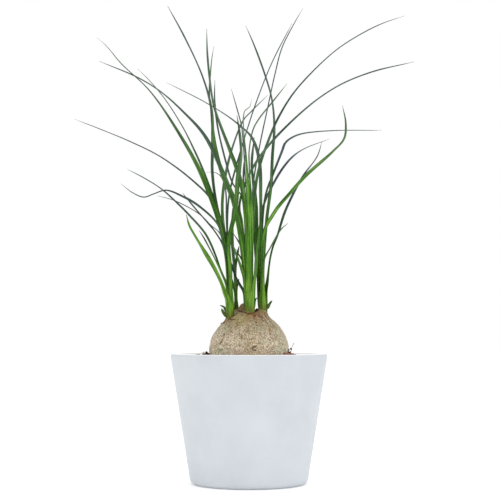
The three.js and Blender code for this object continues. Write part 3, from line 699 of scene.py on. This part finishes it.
def floor_material():
    look = Look("studio_floor")
    cloud = look.noise(look.place(), 3, 2)
    colour = look.ramp(cloud, (0.3, (0.985, 0.985, 0.985, 1)), (0.7, (0.995, 0.995, 0.995, 1)))
    return look.shade(Base_Color=colour, Roughness=0.9, Specular_IOR_Level=0.1, Emission_Color=WHITE,
                      Emission_Strength=0.12)


# ---- pot ----

def pot_outer(height):
    """The outer radius of the pot's wall at a height."""
    return FOOT_RADIUS + POT_TAPER * height


def pot_inner(height):
    return pot_outer(height) - POT_WALL


def make_pot():
    lean = math.degrees(math.atan(POT_TAPER))
    corner_centre = pot_outer(FOOT_CORNER) - FOOT_CORNER
    inner_centre = pot_inner(POT_FLOOR + INNER_CORNER) - INNER_CORNER
    foot = arc(corner_centre, FOOT_CORNER, FOOT_CORNER, -90, -lean, 14)
    lip = arc(RIM_RADIUS - LIP_RADIUS, POT_HEIGHT - LIP_RADIUS, LIP_RADIUS, -lean, 90, 14)
    wall = [
        (lerp(foot[-1][0], lip[0][0], i / WALL_STEPS), lerp(foot[-1][1], lip[0][1], i / WALL_STEPS))
        for i in range(1, WALL_STEPS)
    ]
    profile = [
        (0, 0), (0.5 * corner_centre, 0),
        *foot, *wall, *lip,
        *arc(pot_inner(POT_HEIGHT) + INNER_LIP, POT_HEIGHT - INNER_LIP, INNER_LIP, 90, 180, 6),
        *arc(inner_centre, POT_FLOOR + INNER_CORNER, INNER_CORNER, -lean, -90, 8),
        (0, POT_FLOOR),
    ]
    points, faces = turned(profile, POT_SIDES)
    piece = make_piece("pot_body", points, faces, pot_material(), "pot")
    # The inner wall is marked for its paler colour and glow, painted light against the shade inside the pot.
    inner = piece.data.attributes.new("inner", "FLOAT", "POINT")
    edge = pot_inner(POT_HEIGHT) + 0.5 * POT_WALL
    inner.data.foreach_set("value", [
        1.0 if z > POT_FLOOR - 1 and math.hypot(x, y) < edge - (POT_HEIGHT - z) * POT_TAPER else 0.0
        for x, y, z in points
    ])


# ---- soil ----

def soil_height(x, y):
    """Highest at the bulb and lowest at the pot's wall, with slight waves between."""
    radius = math.hypot(x, y)
    out = clamp((radius - BULB_RADIUS) / (pot_inner(SOIL_EDGE) - BULB_RADIUS))
    waves = math.sin(x / 7 + 1) * math.cos(y / 9)
    return lerp(SOIL_CROWN, SOIL_EDGE, out) + 4 * waves * out * (1 - out)


def make_soil(material):
    bottom = POT_FLOOR + FIT
    wall = pot_inner(bottom + INNER_CORNER) - FIT
    edge = pot_inner(SOIL_EDGE) - FIT
    hole = BULB_RADIUS - 2.5
    under = BULB_CENTRE - BULB_RADIUS
    top = [(lerp(edge, hole, i / SOIL_STEPS), SOIL_CROWN) for i in range(SOIL_STEPS + 1)]
    profile = [
        (0, bottom), (wall - INNER_CORNER, bottom), (wall, bottom + INNER_CORNER),
        (edge, SOIL_EDGE - 2.5), *top,
        (0.97 * hole, SOIL_CROWN - 14), (0.5 * hole, under), (0, under - 2),
    ]

    def shift(point):
        """Makes the flat top uneven."""
        x, y, z = point
        if abs(z - SOIL_CROWN) > 1e-6:
            return point
        rough = 1.1 * fractal(x, y, 0, 9, 4, 3.1) + 0.7 * abs(fractal(x, y, 0, 3, 3, 8.2))
        return (x, y, soil_height(x, y) + rough)

    points, faces = turned(profile, SOIL_SIDES, shift)
    make_piece("soil_bed", points, faces, material, "soil")


def lump(x, y, z, size, seed, points, faces, flat=0.75):
    """Adds one rough lump of soil to the lists of points and faces."""
    start = len(points)
    tilts = [math.pi * (i + 1) / (LUMP_RINGS + 1) for i in range(LUMP_RINGS)]
    for direction in ball_directions(tilts, LUMP_SIDES, seed * 1.7):
        radius = size * (1 + 0.35 * noise.noise(direction * 1.6 + Vector((seed, seed * 0.7, 0))))
        points.append((x + radius * direction.x, y + radius * direction.y, z + flat * radius * direction.z))
    faces.extend(ball_faces(LUMP_RINGS, LUMP_SIDES, start))


def make_crumbs(material):
    points, faces = [], []
    for i, (x, y, size) in enumerate(CRUMBS):
        lump(x, y, soil_height(x, y) + 0.4 * size, size, 1.3 * i, points, faces)
        if i == WARM_CRUMBS - 1:
            warm = len(points)
    draw = random.Random(CRUMB_SEED)
    inner, outer = BULB_RADIUS + 0.8, pot_inner(SOIL_EDGE) - 1.4
    for i in range(LOOSE_CRUMBS):
        radius = math.sqrt(draw.uniform(inner ** 2, outer ** 2))
        angle = draw.uniform(0, 2 * math.pi)
        size = draw.choice(CRUMB_SIZES)
        x, y = radius * math.cos(angle), radius * math.sin(angle)
        z = soil_height(x, y) + draw.uniform(-0.1, 0.6) * size + 0.3
        lump(x, y, z, size, 7.1 + i, points, faces, draw.uniform(0.5, 0.9))
    loose = len(points)
    for i, (x, y, z, size) in enumerate(CLINGING):
        lump(x, y, z, size, 3.7 + i, points, faces, 0.95)
    piece = make_piece("soil_crumbs", points, faces, material)
    kinds = [(float(i < warm), float(i >= loose), 0.0, 1.0) for i in range(len(points))]
    paint(piece, "crumb", kinds)


def make_loose_root():
    """A thin dry root fibre that stands out of the soil on the right."""
    line = smooth_path([Vector(point) for point in LOOSE_ROOT], 0.3)
    points, faces = [], []
    for i, point in enumerate(line):
        radius = FIBRE_RADIUS + (FIBRE_KNOB if i > len(line) - 5 else 0.0)
        for k in range(FIBRE_SIDES):
            angle = 2 * math.pi * k / FIBRE_SIDES
            points.append((point.x + radius * math.cos(angle), point.y + radius * math.sin(angle), point.z))
    for i in range(len(line) - 1):
        for k in range(FIBRE_SIDES):
            here = i * FIBRE_SIDES + k
            after = i * FIBRE_SIDES + (k + 1) % FIBRE_SIDES
            faces.append((here, after, after + FIBRE_SIDES, here + FIBRE_SIDES))
    faces.append(tuple(reversed(range(FIBRE_SIDES))))
    faces.append(tuple(range(len(points) - FIBRE_SIDES, len(points))))
    make_piece("soil_root", points, faces, root_material())


# ---- bulb ----

def bulb_radius_at(direction):
    """The smooth bulb's distance from its centre along a direction, without its bumps."""
    up = max(direction.z, 0.0)
    neck = 1 - NECK_TAPER * up ** 1.5
    across = math.hypot(direction.x, direction.y)
    rise = BULB_RISE if direction.z > 0 else BULB_RADIUS
    return 1 / math.sqrt((across / (BULB_RADIUS * neck)) ** 2 + (direction.z / rise) ** 2)


def bulb_places():
    """Where the shoots and the stump stand on the bulb: direction, reach, half angle and softness."""
    places = []
    for shoot in SHOOTS.values():
        x, y, z = shoot["foot"]
        target = Vector((x, y, z - BULB_CENTRE))
        half = math.degrees((shoot["radius"] + 0.9) / target.length)
        places.append((target.normalized(), target.length + 0.2, half, 0.3))
    x, y, radius, top = STUMP
    target = Vector((x, y, top - BULB_CENTRE))
    places.append((target.normalized(), target.length, math.degrees(radius / target.length), 0.2))
    return places


def mark_boxes():
    """The bark marks with the bounds in which they can be felt."""
    boxes = []
    for kind, width, depth, *drawn in BARK_MARKS:
        line = list(zip(drawn[::2], drawn[1::2]))
        reach = MARK_REACH * width
        xs, zs = [x for x, _ in line], [z for _, z in line]
        bounds = (min(xs) - reach, max(xs) + reach, min(zs) - reach, max(zs) + reach)
        boxes.append((kind, width, depth, line, bounds))
    return boxes


def line_distance(x, z, line):
    """The distance from a point to the nearest part of a line."""
    nearest = 1e9
    for (ax, az), (bx, bz) in zip(line, line[1:]):
        dx, dz = bx - ax, bz - az
        part = clamp(((x - ax) * dx + (z - az) * dz) / max(dx * dx + dz * dz, 1e-9))
        nearest = min(nearest, math.hypot(x - ax - part * dx, z - az - part * dz))
    return nearest


def collared_radius(direction, places):
    """The smooth bulb's radius, raised to a collar round each shoot and to the stump."""
    smooth = bulb_radius_at(direction)
    radius = smooth
    if direction.z > 0.3:
        for target, reach, half, soft in places:
            off = math.degrees(direction.angle(target))
            rise = reach - smooth
            if rise > 0:
                radius = max(radius, smooth + rise / (1 + math.exp((off - half) / (soft * half))))
    return radius


def bark_point(direction, places, marks):
    """A point of the bark and its stain, crease, olive and tan, which is below 0 where it is pale."""
    radius = collared_radius(direction, places)
    x, y, z = direction * radius
    height = z + BULB_CENTRE
    up = clamp((direction.z - 0.35) / 0.6)
    around = math.atan2(y, x)
    low = 0.45 * fractal(x, y, z, 17, 3, 5.0)
    wrinkle = 1 - abs(fractal(9 * math.cos(around), 9 * math.sin(around), 0.22 * z, 1.6, 3, 2.0))
    knobs = 0.3 * fractal(x, y, 0.7 * z, 3.0, 4, 1.0)
    crease = clamp((wrinkle - 0.84) / 0.16) * up
    radius += low + knobs - 0.18 * crease
    shown = {"crease": 0.08 * crease, "stain": 0.0, "olive": 0.0, "tan": 0.0, "pale": 0.0}
    for shoot in SHOOTS.values():
        foot_x, foot_y, foot_z = shoot["foot"]
        if height > foot_z - 8:
            away = math.hypot(x - foot_x, y - foot_y) - shoot["radius"]
            ring = clamp(1 - abs(away - 0.2) / 0.8)
            radius -= 0.4 * ring
            shown["crease"] = max(shown["crease"], 0.65 * ring)
            shown["stain"] = max(shown["stain"], 0.5 * clamp(1 - abs(away - 1) / 3.5))
    if y < FRONT_END:
        shrink = 1 / (1 + y / EYE_DISTANCE)
        seen_x = EYE_X + (x - EYE_X) * shrink
        seen_z = EYE_Z + (height - EYE_Z) * shrink
        for kind, width, depth, line, (x0, x1, z0, z1) in marks:
            if x0 < seen_x < x1 and z0 < seen_z < z1:
                felt = math.exp(-(line_distance(seen_x, seen_z, line) / width) ** 2)
                if width < THIN_MARK:
                    felt *= clamp(0.55 + 1.6 * fractal(x, y, z, 2.2, 2, 9.0))
                radius -= depth * felt
                if kind == "crease":
                    felt *= min(2.8 * width, 1.0)
                shown[kind] = max(shown[kind], felt)
    mottled = up * (0.1 + 0.8 * fractal(x, y, z, 6, 3, 4.0))
    stain = clamp(shown["stain"] - shown["pale"] + mottled + 0.8 * clamp((height - STUMP_STAIN) / 3))
    point = direction * radius
    colour = (stain, clamp(shown["crease"]), shown["olive"], shown["tan"] - 2 * shown["pale"])
    return (point.x, point.y, point.z + BULB_CENTRE), colour


def make_bulb():
    seen = round(SEEN_PART * BULB_RINGS)
    hidden = BULB_RINGS - seen
    tilts = [lerp(0, SEEN_TILT, (i + 1) / seen) for i in range(seen)]
    tilts += [lerp(SEEN_TILT, math.pi, (i + 1) / (hidden + 1)) for i in range(hidden)]
    places, marks = bulb_places(), mark_boxes()
    points, bark = [], []
    for direction in ball_directions(tilts, BULB_SIDES):
        point, colour = bark_point(direction, places, marks)
        points.append(point)
        bark.append(colour)
    faces = ball_faces(BULB_RINGS, BULB_SIDES)
    piece = make_piece("bulb_bark", points, faces, bulb_material(), "bulb")
    paint(piece, "bark", bark)


# ---- leaves ----

def at_depth(x, z, y):
    """Moves a point drawn at the plane y = 0 along its line of sight to the depth y."""
    grow = 1 + y / EYE_DISTANCE
    return Vector((EYE_X + (x - EYE_X) * grow, y, EYE_Z + (z - EYE_Z) * grow))


def smooth_path(points, spacing):
    """Evenly spaced points on a smooth curve through the points."""
    ends = [2 * points[0] - points[1], *points, 2 * points[-1] - points[-2]]
    fine = []
    steps = 24
    for i in range(1, len(ends) - 2):
        p0, p1, p2, p3 = ends[i - 1:i + 3]
        d0, d1, d2 = (math.sqrt(max((b - a).length, 1e-4)) for a, b in ((p0, p1), (p1, p2), (p2, p3)))
        t1 = ((p1 - p0) / d0 - (p2 - p0) / (d0 + d1) + (p2 - p1) / d1) * d1
        t2 = ((p2 - p1) / d1 - (p3 - p1) / (d1 + d2) + (p3 - p2) / d2) * d1
        for k in range(steps):
            t = k / steps
            cubic = 2 * p1 - 2 * p2 + t1 + t2
            square = -3 * p1 + 3 * p2 - 2 * t1 - t2
            fine.append(p1 + t * (t1 + t * (square + t * cubic)))
    fine.append(points[-1])
    lengths = [0.0]
    for a, b in zip(fine, fine[1:]):
        lengths.append(lengths[-1] + (b - a).length)
    count = max(int(round(lengths[-1] / spacing)), 8)
    even = []
    j = 0
    for i in range(count + 1):
        wanted = lengths[-1] * i / count
        while j < len(fine) - 2 and lengths[j + 1] < wanted:
            j += 1
        part = (wanted - lengths[j]) / max(lengths[j + 1] - lengths[j], 1e-9)
        even.append(fine[j].lerp(fine[j + 1], clamp(part)))
    return even


def leaf_line(leaf, foot, sheath):
    """The leaf's middle line, and the way it leaves the shoot."""
    depth, drawn = leaf[0], leaf[5:]
    heading = math.atan2(depth - foot[1], drawn[-2] - foot[0])
    outward = Vector((math.cos(heading), math.sin(heading), 0))
    points = [Vector((foot[0] + sheath * outward.x, 0, foot[2] - ROOT_DEPTH))]
    points += [Vector((x, 0, z)) for x, z in zip(drawn[::2], drawn[1::2])]
    flat = smooth_path(points, SECTION_SPACING)
    root_y = foot[1] + sheath * outward.y
    line = []
    for i, point in enumerate(flat):
        along = i / (len(flat) - 1)
        line.append(at_depth(point.x, point.z, root_y + (depth - root_y) * along ** 1.7))
    return line, outward


def face_turn(forward, face, slant):
    """The turn about the middle line that shows the blade's face at its slant, the short way round."""
    across = forward.cross(face)
    to_face = math.atan2(-across.y, -face.y)
    wanted = math.radians(slant)
    turns = [to_face + side * wanted + half * math.pi for half in (-1, 0, 1) for side in (1, -1)]
    return min(turns, key=abs)


def smooth_step(value):
    value = clamp(value)
    return value * value * (3 - 2 * value)


def leaf_breadth(along, width, hold, phase):
    """The open leaf's breadth at a part of its length."""
    taper = (1 - clamp((along - hold) / (1 - hold))) ** 1.25
    taper *= lerp(ROOT_BREADTH, 1, smooth_step(along / ROOT_PART))
    tip = min(TIP_BREADTH * clamp(hold / TIP_HOLD, TIP_LEAST), width)
    tip *= max(clamp((1 - along) / TIP_PART) ** 0.7, TIP_END)
    return max(width * taper * (1 + RIPPLE * math.sin(RIPPLE_PACE * along + phase)), tip)


def leaf_colour(along, run, opening, raised, tone_and_shade, bract):
    """The tone shown, its dark partly painted shade; the sheath's yellow-green, the far end's slate, the
    foot's olive brown.
    """
    shown = tone_and_shade if bract else tone_and_shade * lerp(0.35, 1, smooth_step(run / (3 * opening)))
    low = BRACT_GREEN if bract else clamp(1 - raised / SHEATH_GREEN)
    far = smooth_step((along - lerp(0.4, 0.16, tone_and_shade)) / 0.55) * clamp((raised - lerp(90, 35, tone_and_shade)) / 80)
    husk = clamp(1 - (raised - HUSK_FROM) / HUSK_HEIGHT)
    return (shown, low, far, husk)


def add_blade(leaf, foot, sheath, opens, lot, build, bract=False):
    """Adds one leaf or bract to the build: a channelled blade, wrapped round the shoot at its root."""
    line, outward = leaf_line(leaf, foot, sheath)
    width, slant, hold, tone_and_shade = leaf[1:5]
    stout = BRACT_STOUT if bract else 1.0
    last = len(line) - 1
    forwards = [(line[min(i + 1, last)] - line[max(i - 1, 0)]).normalized() for i in range(last + 1)]
    face = -outward
    faces = []
    for forward in forwards:
        face = (face - forward * face.dot(forward)).normalized()
        faces.append(face)
    slanted = round(SLANT_AT * last)
    turn = face_turn(forwards[slanted], faces[slanted], slant)
    draw = random.Random(lot)
    twist_phase, ripple_phase = [draw.uniform(0, 2 * math.pi) for _ in range(2)]
    start = len(build["points"])
    ring = 2 * len(ACROSS)
    length = sum((b - a).length for a, b in zip(line, line[1:]))
    opening = min(opens, OPEN_PART * length)
    run = 0.0
    for i, point in enumerate(line):
        along = i / last
        if i:
            run += (point - line[i - 1]).length
        root = lerp(ROOT_SHEATH, 1, smooth_step(run / ROOT_RUN))
        point = point - outward * sheath * (1 - root)
        forward = forwards[i]
        across = forward.cross(faces[i])
        opened = smooth_step(run / opening)
        angle = turn * opened * math.sin(math.pi * along) ** 0.6
        angle += TWIST * math.sin(TWIST_PACE * along + twist_phase) * along
        up = faces[i] * math.cos(angle) + across * math.sin(angle)
        right = forward.cross(up)
        curl = lerp(SHEATH_CURL, OPEN_CURL, opened)
        wrapped = 2 * SHEATH_CURL * sheath * root
        breadth = lerp(wrapped, leaf_breadth(along, width, hold, ripple_phase), opened)
        bend = breadth / (2 * curl)
        thick_middle = lerp(SHEATH_MIDDLE, BLADE_MIDDLE, opened)
        fine = clamp(30 * (1 - along), 0.4)
        colour = leaf_colour(along, run, opening, point.z - foot[2], tone_and_shade, bract)
        for lower in (0, 1):
            for edge in ACROSS:
                thick = stout * fine * lerp(thick_middle, BLADE_EDGE, edge ** 2)
                lift = bend * (1 - math.cos(edge * curl)) - (lower - 0.5) * thick
                reach = bend * math.sin(edge * curl)
                build["points"].append(tuple(point + right * reach + up * lift))
                build["leaf"].append(colour)
                build["blade"].append((0.5 * breadth * edge / 3, run / 100, lot % 17))
    order = list(range(len(ACROSS))) + list(range(ring - 1, len(ACROSS) - 1, -1))
    for i in range(last):
        here = start + i * ring
        for k in range(ring):
            a, b = order[k], order[(k + 1) % ring]
            build["faces"].append((here + a, here + b, here + ring + b, here + ring + a))
    build["faces"].append(tuple(start + k for k in reversed(order)))
    build["faces"].append(tuple(start + last * ring + k for k in order))


def make_shoot(name, shoot, number, material):
    """A shoot's leaves and bracts. The lower a leaf leaves the shoot, the further out its sheath is."""
    build = {"points": [], "faces": [], "leaf": [], "blade": []}
    foot, radius, opens = shoot["foot"], shoot["radius"], shoot["opens"]
    lots = SHOOT_LOTS * number
    for i, leaf in enumerate(shoot["leaves"]):
        inward = SHEATH_NESTING * clamp((leaf[6] - foot[2] - NESTING_FROM) / NESTING_RISE)
        add_blade(leaf, foot, radius * (SHEATH_OUTER - inward), opens, lots + i + 1, build)
    for i, bract in enumerate(shoot["bracts"]):
        add_blade(bract, foot, radius * SHEATH_BRACT, BRACT_OPENS, lots + BRACT_LOTS + i, build, True)
    piece = make_piece(name + "_leaves", build["points"], build["faces"], material, name)
    paint(piece, "leaf", build["leaf"])
    blade = piece.data.attributes.new("blade", "FLOAT_VECTOR", "POINT")
    blade.data.foreach_set("vector", [c for value in build["blade"] for c in value])


# ---- stage ----

def make_floor():
    radius, sides = 6.0, 96
    angles = [2 * math.pi * k / sides for k in range(sides)]
    points = [(radius * math.cos(angle), radius * math.sin(angle), 0.0) for angle in angles]
    mesh = bpy.data.meshes.new("floor")
    mesh.from_pydata(points, [], [tuple(range(sides))])
    mesh.materials.append(floor_material())
    floor = bpy.data.objects.new("floor", mesh)
    bpy.context.scene.collection.objects.link(floor)


def make_light(name, place, size, power, colour=(1, 1, 1)):
    light = bpy.data.lights.new(name, "AREA")
    light.shape = "DISK"
    light.size = size
    light.energy = power
    light.color = colour
    lamp = bpy.data.objects.new(name, light)
    bpy.context.scene.collection.objects.link(lamp)
    lamp.location = place
    aim = Vector((0, 0, 0.2)) - lamp.location
    lamp.rotation_euler = aim.to_track_quat("-Z", "Y").to_euler()


def make_world():
    world = bpy.data.worlds.new("studio")
    world.use_nodes = True
    sky = world.node_tree.nodes["Background"]
    sky.inputs["Color"].default_value = WHITE
    sky.inputs["Strength"].default_value = 1.0
    bpy.context.scene.world = world


def make_camera():
    camera = bpy.data.objects.new("camera", bpy.data.cameras.new("camera"))
    bpy.context.scene.collection.objects.link(camera)
    camera.location = (EYE_X * MM, -EYE_DISTANCE * MM, EYE_Z * MM)
    camera.rotation_euler = (math.radians(90 + EYE_TILT_DEG), 0, 0)
    camera.data.sensor_width = EYE_SENSOR
    camera.data.lens = EYE_LENS
    bpy.context.scene.camera = camera


bpy.context.scene.view_settings.view_transform = "Standard"
make_camera()
make_world()
make_floor()
make_light("key", (-1.2, -1.6, 2.2), 1.6, 5, (1.0, 1.0, 0.98))
make_light("fill", (1.5, -1.4, 1.0), 1.6, 3, (0.92, 0.95, 1.0))
make_light("top", (0.2, 0.3, 2.6), 2.2, 14)

make_pot()
soil_look = soil_material()
make_soil(soil_look)
make_crumbs(soil_look)
make_loose_root()
make_bulb()
leaf_look = leaf_material()
for shoot_number, (shoot_name, shoot_plan) in enumerate(SHOOTS.items()):
    make_shoot(shoot_name, shoot_plan, shoot_number, leaf_look)
